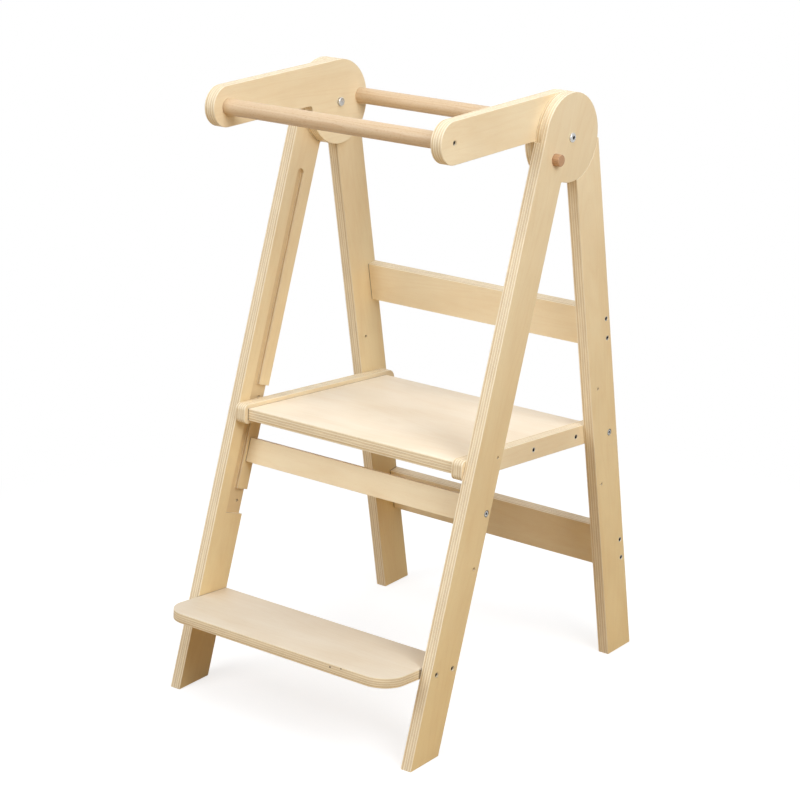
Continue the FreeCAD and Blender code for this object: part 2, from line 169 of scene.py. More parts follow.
class StoolWood(bpy.types.PropertyGroup):
    """Colours and sizes of the plywood and the beech."""
    deck_pale: colour("Pale deck veneer", "Lightest tone of the platform and the step",
                      srgb(249, 236, 214))
    deck_deep: colour("Deep deck veneer", "Darkest tone of the platform's and the step's figure",
                      srgb(240, 221, 193))
    leg_pale: colour("Pale leg veneer", "Lightest tone of the legs, arms and rails",
                     srgb(250, 234, 200))
    leg_deep: colour("Deep leg veneer", "Darkest tone of the figure of legs, arms and rails",
                     srgb(239, 215, 175))
    # Painted shade: what the legs' veneer is multiplied by at the feet, to draw it darker and warmer
    # towards the floor.
    foot_painted_shade: colour("Tone at the feet", "What the legs' veneer is multiplied by at the feet",
                      (0.95, 0.87, 0.66))
    long_layer: colour("Long layers", "Edge layers cut along their fibres", srgb(252, 239, 211))
    end_layer: colour("End layers", "Edge layers cut across their fibres", srgb(224, 197, 152))
    glue: colour("Glue lines", "Thin lines between the layers", srgb(134, 98, 58))
    # One dark tone for the painted shadow in the joints at the boards' ends and for the small knots'
    # own colour.
    joint: colour("Joints and knots", "Dark tone in joints and small knots", srgb(74, 52, 32))
    handled: colour("Handling", "Tone that hands leave on the faces", (0.52, 0.36, 0.20))
    rubbed: colour("Rubbed corners", "Tone of the sanded corners", (0.93, 0.83, 0.66))
    beech_pale: colour("Pale beech", "Lightest tone of the dowels", srgb(219, 194, 160))
    beech_deep: colour("Deep beech", "Darker tone of the dowels", srgb(199, 163, 122))
    peg_pale: colour("Pale peg", "Lightest tone of the pegs", srgb(206, 163, 124))
    peg_deep: colour("Deep peg", "Darker tone of the pegs", srgb(156, 114, 78))
    layers: bpy.props.IntProperty(
        name="Layers", description="Number of layers seen on a sheet's edge", min=3, max=21,
        default=9)
    ease: length("Eased corner", "Radius of the sanded outside corners", 0.0002, 0.003, 0.0006)
    gloss: number("Lacquer roughness", "Roughness of the clear satin lacquer", 0.1, 1, 0.5)


class StoolMetal(bpy.types.PropertyGroup):
    """Finish of the screws, bolts, nuts and rollers."""
    zinc: colour("Zinc", "Colour of the plated steel", srgb(205, 205, 203))
    blotch: colour("Blotch", "Duller tone in the plating", srgb(158, 156, 150))
    # Painted shadow: the dark colour drawn deep in the sockets of screws and bolts and on the rims of
    # sunk bolt heads.
    shadow: colour("Recess", "Colour deep in the sockets of screws and bolts", srgb(34, 30, 26))
    roughness: number("Roughness", "Roughness of the plated steel", 0.06, 1, 0.3)
    thread_pitch: length("Thread pitch", "Distance between two turns of a wood screw's thread",
                         0.001, 0.006, 0.0026)
    nylon: colour("Nylon", "Colour of the guide rollers", srgb(226, 224, 216))
    nylon_deep: colour("Deep nylon", "Darker tone of the nylon's grain", srgb(198, 194, 182))


class StoolStage(bpy.types.PropertyGroup):
    """Floor, lamps and camera."""
    floor: colour("Floor", "Colour of the floor as it lights the stool", srgb(176, 142, 80))
    key: lamp_power("Key", "Power of the large lamp in front", 58)
    top: lamp_power("Top", "Power of the lamp overhead", 38)
    fill: lamp_power("Fill", "Power of the lamp at the right", 39)
    back: lamp_power("Back", "Power of the lamp behind", 16)
    sky: number("Sky", "Strength of the even light from all round", 0, 3, 0.27)
    lens: number("Lens", "Focal length of the camera, in millimetres", 20, 300, 108.87)


SETTINGS = {"stool_wood": StoolWood, "stool_metal": StoolMetal, "stool_stage": StoolStage}


def wood():
    return bpy.context.scene.stool_wood


def metal():
    return bpy.context.scene.stool_metal


def stage():
    return bpy.context.scene.stool_stage


# ---------------- meshes
def shell(rings):
    """Points and faces of one closed surface.  Row i of rings is a closed loop; each point is
    joined to its neighbour in the loop and to the same point of the next row by a four-sided
    face, and the first and last rows are closed by one flat face each.  Faces are turned to point
    outwards by the sign of the enclosed volume."""
    rows, around = rings.shape[:2]
    row = np.arange(rows - 1)[:, None] * around
    step = np.arange(around)[None, :]
    here = row + step
    beside = row + (step + 1) % around
    quads = np.stack([here, beside, beside + around, here + around], -1).reshape(-1, 4)
    first = np.arange(around)[::-1]
    last = np.arange(around) + (rows - 1) * around
    points = rings.reshape(-1, 3)
    corners = points[quads] - points.mean(0)
    volume = np.einsum("ij,ij->", corners[:, 0], np.cross(corners[:, 1], corners[:, 2]))
    volume += np.einsum("ij,ij->", corners[:, 0], np.cross(corners[:, 2], corners[:, 3]))
    loops = [quads.ravel(), first, last]
    sizes = np.concatenate([np.full(len(quads), 4), [around, around]])
    if volume < 0:
        loops = [quads[:, ::-1].ravel(), first[::-1], last[::-1]]
    return points, np.concatenate(loops), sizes


def mesh_of(name, shells, smooth_angle=math.radians(35)):
    """A mesh from several closed surfaces, smooth except where it turns by more than an angle."""
    starts = np.cumsum([0] + [len(s[0]) for s in shells[:-1]])
    points = np.concatenate([s[0] for s in shells])
    corners = np.concatenate([s[1] + start for s, start in zip(shells, starts)])
    sizes = np.concatenate([s[2] for s in shells])
    mesh = bpy.data.meshes.new(name)
    mesh.vertices.add(len(points))
    mesh.vertices.foreach_set("co", points.astype(np.float32).ravel())
    mesh.loops.add(len(corners))
    mesh.loops.foreach_set("vertex_index", corners.astype(np.int32))
    mesh.polygons.add(len(sizes))
    mesh.polygons.foreach_set("loop_start", (np.cumsum(sizes) - sizes).astype(np.int32))
    mesh.update(calc_edges=True)
    mesh.validate()
    mesh.polygons.foreach_set("use_smooth", np.ones(len(sizes), bool))
    mesh.set_sharp_from_angle(angle=smooth_angle)
    return mesh


def give_material(mesh, material):
    """Makes a material the only one of a mesh."""
    mesh.materials.clear()
    mesh.materials.append(material)


def place(name, mesh, node, material):
    """Puts a mesh in the scene in place of a CAD node, on that node's body."""
    give_material(mesh, material)
    piece = bpy.data.objects.new(name, mesh)
    bpy.context.scene.collection.objects.link(piece)
    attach(piece, frame["nodes"][node]["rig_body"])
    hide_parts(node)
    return piece


def circle_round(axis, around):
    """Angles round a unit axis, and the unit vectors that point there, one row each."""
    angle = np.linspace(0, 2 * math.pi, around, endpoint=False)
    side = np.array(axis.orthogonal().normalized())
    up = np.cross(np.array(axis), side)
    return angle, np.cos(angle)[:, None] * side + np.sin(angle)[:, None] * up


def turned(profile, centre, around, axis=X, star=None):
    """Rings of a turned piece: radius profile[:, 1] at place profile[:, 0] along the axis, swept
    round it.  Where profile has a third column, that share of star(angle) replaces the circle, so
    a socket keeps its own outline."""
    angle, outwards = circle_round(axis, around)
    radius = np.repeat(profile[:, 1:2], around, axis=1)
    if star is not None:
        share = profile[:, 2:3]
        radius = radius * (1 - share) + profile[:, 1:2] * star(angle)[None, :] * share
    places = profile[:, 0][:, None, None] * np.array(axis)
    return np.array(centre) + places + radius[:, :, None] * outwards[None, :, :]


def like_solids(node, side, same_place=1e-4, apart=0.004):
    """Outer end centres of the like solids of a node on one side of the stool: the points of
    their end faces, split where there is a gap along the line that they lie on."""
    points = points_of(node)
    points = points[points[:, 0] * side > 0]
    ends = points[np.abs(points[:, 0]) > np.abs(points[:, 0]).max() - same_place]
    line = np.linalg.svd(ends - ends.mean(0))[2][0]
    along = ends @ line
    order = np.argsort(along)
    cuts = np.flatnonzero(np.diff(along[order]) > apart) + 1
    return [(g.min(0) + g.max(0)) / 2 for g in np.split(ends[order], cuts)]


# ---------------- eased copies of CAD nodes
def reach_of(face, edge):
    """How far a face reaches from the line of one of its edges."""
    start, end = (corner.co for corner in edge.verts)
    line = (end - start).normalized()
    return max((corner.co - start).cross(line).length for corner in face.verts)


def takes_easing(edge, width):
    """An outside corner is sanded round where it isn't a small hole's rim or beside a thin strip."""
    if not edge.is_manifold or edge.calc_length() < 2 * width:
        return False
    if edge.calc_face_angle_signed(0) < CORNER:
        return False
    return min(reach_of(face, edge) for face in edge.link_faces) > 2.5 * width


def eased_copy(node, width):
    """A copy of a CAD node's mesh with its like points merged and its flat areas made whole
    faces.  The outside corners that are sanded round carry a bevel weight."""
    mesh = frame["nodes"][node].data.copy()
    mesh.name = node + "_eased"
    work = bmesh.new()
    work.from_mesh(mesh)
    bmesh.ops.remove_doubles(work, verts=work.verts, dist=2e-6)
    bmesh.ops.dissolve_limit(work, angle_limit=math.radians(0.5), verts=work.verts,
                             edges=work.edges)
    weight = work.edges.layers.float.new("bevel_weight_edge")
    for edge in work.edges:
        edge[weight] = float(takes_easing(edge, width))
    work.to_mesh(mesh)
    work.free()
    if "custom_normal" in mesh.attributes:
        mesh.attributes.remove(mesh.attributes["custom_normal"])
    mesh.polygons.foreach_set("use_smooth", np.ones(len(mesh.polygons), bool))
    mesh.set_sharp_from_angle(angle=CORNER)
    return mesh


# ---------------- node helpers
class Graph:
    """Short calls for building a material's or a group's nodes."""

    def __init__(self, tree):
        self.tree = tree
        self.tree.nodes.clear()
        self.count = 0

    def node(self, kind, **settings):
        """A new node, laid out in rows of twelve."""
        made = self.tree.nodes.new(kind)
        row, column = divmod(self.count, 12)
        made.location = (180 * column, -220 * row)
        self.count += 1
        for key, value in settings.items():
            setattr(made, key, value)
        return made

    def put(self, socket, value):
        """Links an output to a socket, or sets the socket's own value."""
        if isinstance(value, bpy.types.NodeSocket):
            self.tree.links.new(value, socket)
        elif value is not None:
            if socket.type == "RGBA" and len(value) == 3:
                value = (*value, 1)
            socket.default_value = value

    def fill(self, made, values, output=0):
        """Fills a node's sockets, given by name or by number, and gives one of its outputs."""
        for key, value in values.items():
            self.put(made.inputs[key], value)
        return made.outputs[output]

    def math(self, operation, *values, clamp=False):
        made = self.node("ShaderNodeMath", operation=operation, use_clamp=clamp)
        return self.fill(made, dict(enumerate(values)))

    def ramp(self, value, low, high, to_low=0.0, to_high=1.0, kind="SMOOTHSTEP"):
        made = self.node("ShaderNodeMapRange", interpolation_type=kind)
        return self.fill(made, dict(enumerate((value, low, high, to_low, to_high))))

    def mix(self, factor, a, b, blend="MIX"):
        made = self.node("ShaderNodeMix", data_type="RGBA", blend_type=blend)
        return self.fill(made, {0: factor, 6: a, 7: b}, 2)

    def mix_numbers(self, factor, a, b):
        return self.fill(self.node("ShaderNodeMix", data_type="FLOAT"), {0: factor, 2: a, 3: b})

    def measure(self, operation, a, b=None):
        """A number worked out from vectors, such as their DISTANCE or DOT_PRODUCT."""
        made = self.node("ShaderNodeVectorMath", operation=operation)
        return self.fill(made, {0: a, 1: b}, "Value")

    def noise(self, vector, waves, detail=3.0, roughness=0.5, distortion=0.0):
        """Noise with so many waves to the metre along each axis of a vector in metres."""
        scaled = self.fill(self.node("ShaderNodeVectorMath", operation="MULTIPLY"),
                           {0: vector, 1: waves})
        made = self.node("ShaderNodeTexNoise", noise_dimensions="3D")
        return self.fill(made, {"Vector": scaled, "Scale": 1.0, "Detail": detail,
                                "Roughness": roughness, "Distortion": distortion}, "Fac")

    def bump(self, height, strength, depth):
        """Normal of a surface with a drawn height, depth in metres."""
        return self.fill(self.node("ShaderNodeBump"),
                         {"Strength": strength, "Distance": depth, "Height": height})

    def split(self, vector):
        made = self.node("ShaderNodeSeparateXYZ")
        self.put(made.inputs[0], vector)
        return made.outputs

    def position(self):
        """Place in the object's own metres."""
        return self.node("ShaderNodeTexCoord").outputs["Object"]

    def group(self, name, build, **values):
        """A shared effect, whose node group is built when it is first asked for."""
        made = self.node("ShaderNodeGroup", node_tree=bpy.data.node_groups.get(name) or build(name))
        self.fill(made, values)
        return made.outputs

    def shader(self, kind, **values):
        return self.fill(self.node(kind), values)

    def blend(self, factor, a, b):
        """Mix of two shaders."""
        return self.fill(self.node("ShaderNodeMixShader"), {0: factor, 1: a, 2: b})

    def seen_itself(self):
        """1 for what the camera sees, also in a mirror or through glass, and 0 for light that
        goes on to the stool."""
        path = self.node("ShaderNodeLightPath").outputs
        seen = self.math("MAXIMUM", path["Is Camera Ray"], path["Is Glossy Ray"])
        return self.math("MAXIMUM", seen, path["Is Transmission Ray"])


def new_group(name, inputs, outputs):
    """An empty node group and its graph, with the sockets of its input and output nodes.  Inputs
    and outputs give each socket's name and kind."""
    tree = bpy.data.node_groups.new(name, "ShaderNodeTree")
    graph = Graph(tree)
    for way, sockets in (("INPUT", inputs), ("OUTPUT", outputs)):
        for label, kind in sockets.items():
            tree.interface.new_socket(label, in_out=way, socket_type="NodeSocket" + kind)
    return tree, graph, graph.node("NodeGroupInput").outputs, graph.node("NodeGroupOutput").inputs


# In the wood's groups Vector is in metres, with X along the fibres or along a cut edge.
def build_veneer(name):
    """Rotary-cut birch: broad cloudy figure, faint contour lines, fine fibres and short flecks."""
    tree, g, given, out = new_group(name, {"Vector": "Vector", "Pale": "Color", "Deep": "Color"},
                                    {"Color": "Color", "Height": "Float"})
    at = given["Vector"]
    cloud = g.noise(at, (5.0, 16.0, 16.0), distortion=0.6)
    figure = g.noise(at, (2.2, 20.0, 20.0), detail=2, roughness=0.4, distortion=0.3)
    contour = g.math("ABSOLUTE", g.math("SINE", g.math("MULTIPLY", figure, 46.0)))
    contour = g.math("POWER", contour, 6.0)
    fibre = g.noise(at, (30.0, 700.0, 700.0), detail=4, roughness=0.6)
    fleck = g.noise(at, (160.0, 1500.0, 1500.0), detail=1)
    fleck = g.ramp(fleck, 0.66, 0.74)
    tone = g.math("MULTIPLY_ADD", g.ramp(cloud, 0.3, 0.7), 0.55, 0.02)
    tone = g.math("ADD", tone, g.math("MULTIPLY", contour, 0.16))
    tone = g.math("ADD", tone, g.math("MULTIPLY_ADD", fibre, 0.5, -0.2))
    tone = g.math("ADD", tone, g.math("MULTIPLY", fleck, 0.4), clamp=True)
    g.put(out["Color"], g.mix(tone, given["Pale"], given["Deep"]))
    g.put(out["Height"], g.math("MULTIPLY_ADD", fleck, -0.6, g.math("MULTIPLY", fibre, 0.8)))
    return tree


def build_layers(name):
    """A sheet's cut edge: layers whose fibres run along the edge alternate with layers cut across,
    with thin broken glue lines and a few voids between.  Z is through the sheet from its middle."""
    tree, g, given, out = new_group(
        name,
        {"Vector": "Vector", "Thickness": "Float", "Layers": "Float", "Long": "Color",
         "End": "Color", "Glue": "Color"},
        {"Color": "Color", "Height": "Float"})
    at = given["Vector"]
    wander = g.noise(at, (14.0, 14.0, 4.0), detail=2)
    place_in = g.math("DIVIDE", g.split(at)[2], given["Thickness"])
    place_in = g.math("ADD", g.math("MULTIPLY", place_in, given["Layers"]),
                      g.math("MULTIPLY", given["Layers"], 0.5))
    place_in = g.math("ADD", place_in, g.math("MULTIPLY_ADD", wander, 0.5, -0.25))
    layer = g.math("FLOOR", place_in)
    odd = g.math("FLOORED_MODULO", layer, 2.0)
    inside = g.math("FRACT", place_in)
    border = g.math("MINIMUM", inside, g.math("SUBTRACT", 1.0, inside))
    broken = g.noise(at, (26.0, 26.0, 260.0))
    glue = g.math("MULTIPLY", g.ramp(border, 0.16, 0.03), g.ramp(broken, 0.34, 0.62, 0.15, 1.0))
    own = g.fill(g.node("ShaderNodeTexWhiteNoise", noise_dimensions="1D"), {"W": layer}, "Value")
    pores = g.noise(at, (1500.0, 1500.0, 1500.0), detail=2)
    fibre = g.noise(at, (35.0, 35.0, 1400.0))
    long_tone = g.mix(g.math("MULTIPLY", fibre, 0.25), given["Long"], given["End"])
    end_tone = g.mix(g.math("MULTIPLY", own, 0.55), given["End"], given["Long"])
    end_tone = g.mix(g.ramp(pores, 0.55, 0.75, 0.0, 0.35), end_tone, given["Glue"])
    tone = g.mix(odd, long_tone, end_tone)
    tone = g.mix(g.math("MULTIPLY", glue, 0.68), tone, given["Glue"])
    void = g.ramp(g.noise(at, (55.0, 55.0, 420.0), detail=1), 0.80, 0.84)
    g.put(out["Color"], g.mix(g.math("MULTIPLY", void, 0.8), tone, given["Glue"]))
    height = g.math("SUBTRACT", g.math("MULTIPLY", fibre, 0.4), g.math("MULTIPLY", glue, 0.8))
    g.put(out["Height"], g.math("SUBTRACT", height, g.math("MULTIPLY", void, 1.5)))
    return tree


def build_beech(name):
    """Solid beech: growth rings round a pith outside the piece, and short dark flecks."""
    tree, g, given, out = new_group(name, {"Vector": "Vector", "Pale": "Color", "Deep": "Color"},
                                    {"Color": "Color", "Height": "Float"})
    at = given["Vector"]
    wander = g.noise(at, (4.0, 30.0, 30.0), detail=2)
    parts = g.split(at)
    across = g.math("ADD", parts[1], 0.021)
    deep = g.math("ADD", parts[2], 0.034)
    ring = g.math("SQRT", g.math("ADD", g.math("MULTIPLY", across, across),
                                 g.math("MULTIPLY", deep, deep)))
    ring = g.math("MULTIPLY_ADD", ring, 420.0, g.math("MULTIPLY", wander, 5.0))
    ring = g.ramp(g.math("FRACT", ring), 0.35, 1.0)
    fibre = g.noise(at, (25.0, 900.0, 900.0), detail=4, roughness=0.6)
    fleck = g.ramp(g.noise(at, (300.0, 1700.0, 1700.0), detail=0), 0.64, 0.72)
    tone = g.math("MULTIPLY_ADD", ring, 0.35, g.math("MULTIPLY_ADD", fibre, 0.7, -0.25))
    tone = g.math("ADD", tone, g.math("MULTIPLY", fleck, 0.55), clamp=True)
    g.put(out["Color"], g.mix(tone, given["Pale"], given["Deep"]))
    g.put(out["Height"], g.math("MULTIPLY_ADD", fleck, -0.7, g.math("MULTIPLY", fibre, 0.7)))
    return tree


def build_handling(name):
    """Where hands and sanding touch: a lighter, smoother band on the rounded corners, broken up,
    and a faint cloud of darker handling over the rest."""
    tree, g, given, out = new_group(
        name,
        {"Vector": "Vector", "Facing": "Float", "Color": "Color", "Handled": "Color",
         "Rubbed": "Color"},
        {"Color": "Color", "Roughness": "Float"})
    at = given["Vector"]
    square = g.math("MULTIPLY", given["Facing"], given["Facing"])
    corner = g.math("MULTIPLY", g.math("MULTIPLY", square, g.math("SUBTRACT", 1.0, square)), 4.0)
    uneven = g.noise(at, (60.0, 60.0, 60.0))
    corner = g.math("MULTIPLY", corner, g.ramp(uneven, 0.3, 0.7, 0.2, 0.7), clamp=True)
    cloud = g.noise(at, (7.0, 7.0, 7.0), detail=4, roughness=0.6)
    tone = g.mix(g.ramp(cloud, 0.35, 0.75, 0.0, 0.10), given["Color"], given["Handled"])
    g.put(out["Color"], g.mix(corner, tone, given["Rubbed"]))
    g.put(out["Roughness"], g.math("MULTIPLY_ADD", cloud, 0.16,
                                   g.math("MULTIPLY", corner, -0.08)))
    return tree


# ---------------- materials
def new_material(name):
    """A material with one Principled surface: the material, its graph and the surface's inputs."""
    material = bpy.data.materials.new(name)
    material.use_nodes = True
    graph = Graph(material.node_tree)
    output = graph.node("ShaderNodeOutputMaterial")
    surface = graph.node("ShaderNodeBsdfPrincipled")
    graph.put(output.inputs["Surface"], surface.outputs[0])
    return material, graph, surface.inputs


def own_position(g, along, across, through, centre, seed):
    """Position in a piece's own lines: along its fibres, across them and through the sheet from
    its middle, moved by the seed."""
    lines = Matrix((along, across, through))
    middle = lines @ Vector(centre)
    shift = (SEED_SHIFT[0] * seed - middle.x, SEED_SHIFT[1] * seed - middle.y, -middle.z)
    mapping = g.node("ShaderNodeMapping", vector_type="POINT")
    return g.fill(mapping, {"Vector": g.position(), "Location": shift,
                            "Rotation": lines.to_euler("XYZ")})


def facing_along(g, direction):
    """How squarely the surface faces a direction or its opposite, 0 to 1."""
    normal = g.node("ShaderNodeTexCoord").outputs["Normal"]
    return g.math("ABSOLUTE", g.measure("DOT_PRODUCT", normal, tuple(direction)))


def painted_joint_shadow(g, down, across, half, start, tone):
    """Painted shadow: a dark line in the butt joint at both ends of a board, where it meets the
    piece beside it, half its length from the middle.  The line starts at a place across the board."""
    line = g.ramp(g.math("ABSOLUTE", down), half - 0.0020, half - 0.0010, 0.0, 0.75)
    line = g.math("MULTIPLY", line, g.math("GREATER_THAN", across, start))
    return g.mix(line, tone, wood().joint)


def knot(g, centre, radius, tone):
    """A small dark knot."""
    away = g.measure("DISTANCE", g.position(), tuple(centre))
    return g.mix(g.ramp(away, radius, radius * 0.4, 0.0, 0.9), tone, wood().joint)


def plywood(name, along, through, centre, thickness, seed, tones, foot=None, joint=None,
            knots=()):
    """Birch plywood: veneer on the faces, layers on the edges, inner veneer where a groove's
    floor lies inside the sheet, and satin lacquer over all.  Tones are the veneer's palest and
    deepest colour.  With foot, half the length of a leg, painted shade makes the veneer darker
    and warmer towards its foot.
    Joint is half the length of a board that is jointed at its ends, and where the painted shadow
    in those joints starts across it.  Each knot is a place and a radius."""
    look = wood()
    along, through = Vector(along).normalized(), Vector(through).normalized()
    material, g, surface = new_material(name)
    vector = own_position(g, along, through.cross(along), through, centre, seed)
    facing = facing_along(g, through)
    parts = g.split(vector)
    down = g.math("SUBTRACT", parts[0], SEED_SHIFT[0] * seed)
    veneer = g.group("birch veneer", build_veneer, Vector=vector, Pale=tones[0], Deep=tones[1])
    layers = g.group("sheet layers", build_layers, Vector=vector, Thickness=thickness,
                     Layers=float(look.layers), Long=look.long_layer, End=look.end_layer,
                     Glue=look.glue)
    face = veneer["Color"]
    # Painted shade: the veneer grows darker and warmer down the leg to its foot.
    if foot:
        face = g.mix(g.ramp(down, -foot, foot, kind="LINEAR"), face, look.foot_painted_shade, "MULTIPLY")
    inner = g.ramp(g.math("ABSOLUTE", parts[2]), thickness * 0.45, thickness * 0.49, 0.75, 0.0)
    face = g.mix(inner, face, look.end_layer)
    is_face = g.ramp(facing, 0.45, 0.8)
    tone = g.mix(is_face, layers["Color"], face)
    # Painted shadow in the joints at the board's ends.
    if joint:
        across = g.math("SUBTRACT", parts[1], SEED_SHIFT[1] * seed)
        tone = painted_joint_shadow(g, down, across, *joint, tone)
    for place_at, radius in knots:
        tone = knot(g, place_at, radius, tone)
    handled = g.group("handling", build_handling, Vector=vector, Facing=facing, Color=tone,
                      Handled=look.handled, Rubbed=look.rubbed)
    g.put(surface["Base Color"], handled["Color"])
    g.put(surface["Roughness"], g.math("ADD", handled["Roughness"], look.gloss - 0.05))
    height = g.mix_numbers(is_face, layers["Height"], veneer["Height"])
    g.put(surface["Normal"], g.bump(height, 0.35, GRAIN_DEPTH))
    return material


def solid_beech(name, centre, pale, deep, seed):
    """Turned beech with its fibres across the stool."""
    material, g, surface = new_material(name)
    vector = own_position(g, X, Y, Z, centre, seed)
    grain = g.group("beech grain", build_beech, Vector=vector, Pale=pale, Deep=deep)
    g.put(surface["Base Color"], grain["Color"])
    cloud = g.noise(vector, (40.0, 40.0, 40.0))
    g.put(surface["Roughness"], g.ramp(cloud, 0.3, 0.7, 0.38, 0.5, "LINEAR"))
    g.put(surface["Normal"], g.bump(grain["Height"], 0.4, GRAIN_DEPTH))
    return material


def plated_steel(name):
    """Zinc plated steel with fine turning marks and faint blotches, and painted shadow deep in
    its sockets and counterbores.
    """
    look = metal()
    material, g, surface = new_material(name)
    position = g.position()
    blotch = g.noise(position, (420.0, 420.0, 420.0))
    fine = g.noise(position, (3000.0, 900.0, 900.0), detail=2)
    # The recess share says where the painted shadow lies.
    recess = g.node("ShaderNodeAttribute", attribute_name="recess").outputs["Fac"]
    plating = g.mix(g.ramp(blotch, 0.35, 0.7, 0.0, 0.35), look.zinc, look.blotch)
    g.put(surface["Base Color"], g.mix(recess, plating, look.shadow))
    g.put(surface["Metallic"], 1.0)
    g.put(surface["Roughness"], g.ramp(blotch, 0.3, 0.7, look.roughness - 0.06,
                                       look.roughness + 0.12, "LINEAR"))
    g.put(surface["Normal"], g.bump(fine, 0.15, 0.00005))
    return material


def moulded_nylon(name):
    """Off-white moulded nylon with a fine matt grain."""
    look = metal()
    material, g, surface = new_material(name)
    grain = g.noise(g.position(), (1800.0, 1800.0, 1800.0), detail=2)
    g.put(surface["Base Color"], g.mix(g.math("MULTIPLY", grain, 0.3), look.nylon,
                                       look.nylon_deep))
    g.put(surface["Roughness"], g.ramp(grain, 0.3, 0.7, 0.4, 0.52, "LINEAR"))
    return material


# ---------------- boards
def eased_board(outline, normal, half, steps=4):
    """Rings of a flat board.  The outline is a closed loop of points in the board's middle plane,
    convex, and each ring is that loop moved along the normal and drawn in towards its inside by
    the quarter circle of the eased corner: inset = ease (1 - cos a), rise = half - ease (1 - sin a)."""
    ease = wood().ease
    normal = np.array(normal)
    ahead = np.roll(outline, -1, 0) - outline
    ahead /= np.linalg.norm(ahead, axis=1)[:, None]
    behind = np.roll(ahead, 1, 0)
    inward = np.cross(normal, ahead)
    mitre = inward + np.cross(normal, behind)
    mitre /= np.einsum("ij,ij->i", mitre, inward)[:, None]
    if np.einsum("ij,ij->", mitre, outline.mean(0) - outline) < 0:
        mitre = -mitre
    bend = np.linspace(math.pi / 2, 0, steps)
    inset = ease * (1 - np.cos(bend))
    rise = half - ease * (1 - np.sin(bend))
    inset = np.concatenate([inset, inset[::-1]])
    rise = np.concatenate([rise, -rise[::-1]])
    return outline[None] + inset[:, None, None] * mitre[None] + rise[:, None, None] * normal


def half_extents(node, *directions):
    """Middle of a node and its half sizes along given directions, which are square to each
    other."""
    directions = np.array([tuple(direction) for direction in directions])
    along = points_of(node) @ directions.T
    low, high = along.min(0), along.max(0)
    return (low + high) / 2 @ directions, (high - low) / 2


def tones_of(kind, board):
    """Palest and deepest veneer colour of a kind of board, times its own tone and painted light."""
    look = wood()
    pair = {"deck": (look.deck_pale, look.deck_deep), "leg": (look.leg_pale, look.leg_deep)}[kind]
    return [[value * TONE_AND_PAINTED_LIGHT[board] for value in tone] for tone in pair]


def board_piece(node, along, up, normal, seed, tones):
    """A straight board in place of a node, square at its corners in its own lines."""
    middle, (long_half, high_half, thin_half) = half_extents(node, along, up, normal)
    a, b = np.array(along) * long_half, np.array(up) * high_half
    rings = eased_board(middle + np.array([a + b, b - a, -a - b, a - b]), normal, thin_half)
    # The board's ends get painted shadow where they meet the legs or the side bars.
    material = plywood(node + "_ply", along, normal, middle, 2 * thin_half, seed, tones,
                       joint=(long_half, -high_half))
    place(node + "_wood", mesh_of(node, [shell(rings)]), node, material)


def upright_piece(node, along, outwards, seed, tones, foot=None):
    """A board that stands upright across X, with its node's own shape, its outside corners
    rounded and its flat faces shaded flat."""
    width = wood().ease
    material = plywood(node + "_ply", along, outwards, centre_of(node), size_of(node).x, seed,
                       tones, foot)
    piece = place(node + "_wood", eased_copy(node, width), node, material)
    bevel = piece.modifiers.new("eased corners", "BEVEL")
    bevel.limit_method = "WEIGHT"
    bevel.width = width
    bevel.segments = 2
    bevel.use_clamp_overlap = False
    flat = piece.modifiers.new("flat faces", "WEIGHTED_NORMAL")
    flat.keep_sharp = True


# ---------------- wooden pieces
class STOOL_OT_legs(bpy.types.Operator):
    """Front and rear legs: round lapped heads, guide grooves and notches, eased corners"""
    bl_idname = "stool.legs"
    bl_label = "Legs"

    def execute(self, context):
        seed = SEEDS["leg"]
        for side, outwards in (("left", -X), ("right", X)):
            for end, lean in (("front", FRONT_LEAN), ("rear", REAR_LEAN)):
                node = f"{side}_{end}_leg"
                # Half the leg's length sets how the painted shade deepens towards the foot.
                half_length = half_extents(node, down_leg(lean))[1][0]
                upright_piece(node, down_leg(lean), outwards, seed,
                              tones_of("leg", end), half_length)
                seed += 1
        return {"FINISHED"}


class STOOL_OT_rails(bpy.types.Operator):
    """Front crossbar and the two back rails, with eased long corners"""
    bl_idname = "stool.rails"
    bl_label = "Rails"

    def execute(self, context):
        leans = {"front_crossbar": FRONT_LEAN, "upper_back_rail": REAR_LEAN,
                 "lower_back_rail": REAR_LEAN}
        for seed, (node, lean) in enumerate(leans.items(), SEEDS["rail"]):
            board_piece(node, X, down_leg(lean), behind_leg(lean), seed,
                        tones_of("leg", "rail"))
        return {"FINISHED"}


class STOOL_OT_step(bpy.types.Operator):
    """Step board with its two rounded front corners"""
    bl_idname = "stool.step"
    bl_label = "Step"
    corner: length("Corner radius", "Radius of the step's front corners", 0.005, 0.06, 0.038)
    seat: length("Seat", "How far the step's ends lie against the legs, from its back", 0.01, 0.1,
                 0.066)

    def execute(self, context):
        node = "step_board"
        middle, (wide, deep, thin) = half_extents(node, X, DECK_BACK, DECK_UP)
        r = self.corner
        bend = np.linspace(0, math.pi / 2, 17)
        right = np.stack([wide - r + r * np.cos(bend), -deep + r - r * np.sin(bend)], 1)
        left = right[::-1] * (-1, 1)
        flat = np.concatenate([[(wide, deep)], right, left, [(-wide, deep)]])
        outline = middle + flat[:, :1] * np.array(X) + flat[:, 1:] * np.array(DECK_BACK)
        # The step's ends get painted shadow where they lie against the legs, over the seat at its back.
        material = plywood("step_board_ply", X, DECK_UP, middle, 2 * thin, SEEDS["step"],
                           tones_of("deck", "step"), joint=(wide, deep - self.seat),
                           knots=KNOTS_IN_STEP)
        mesh = mesh_of(node, [shell(eased_board(outline, DECK_UP, thin))])
        place("step_board_wood", mesh, node, material)
        return {"FINISHED"}


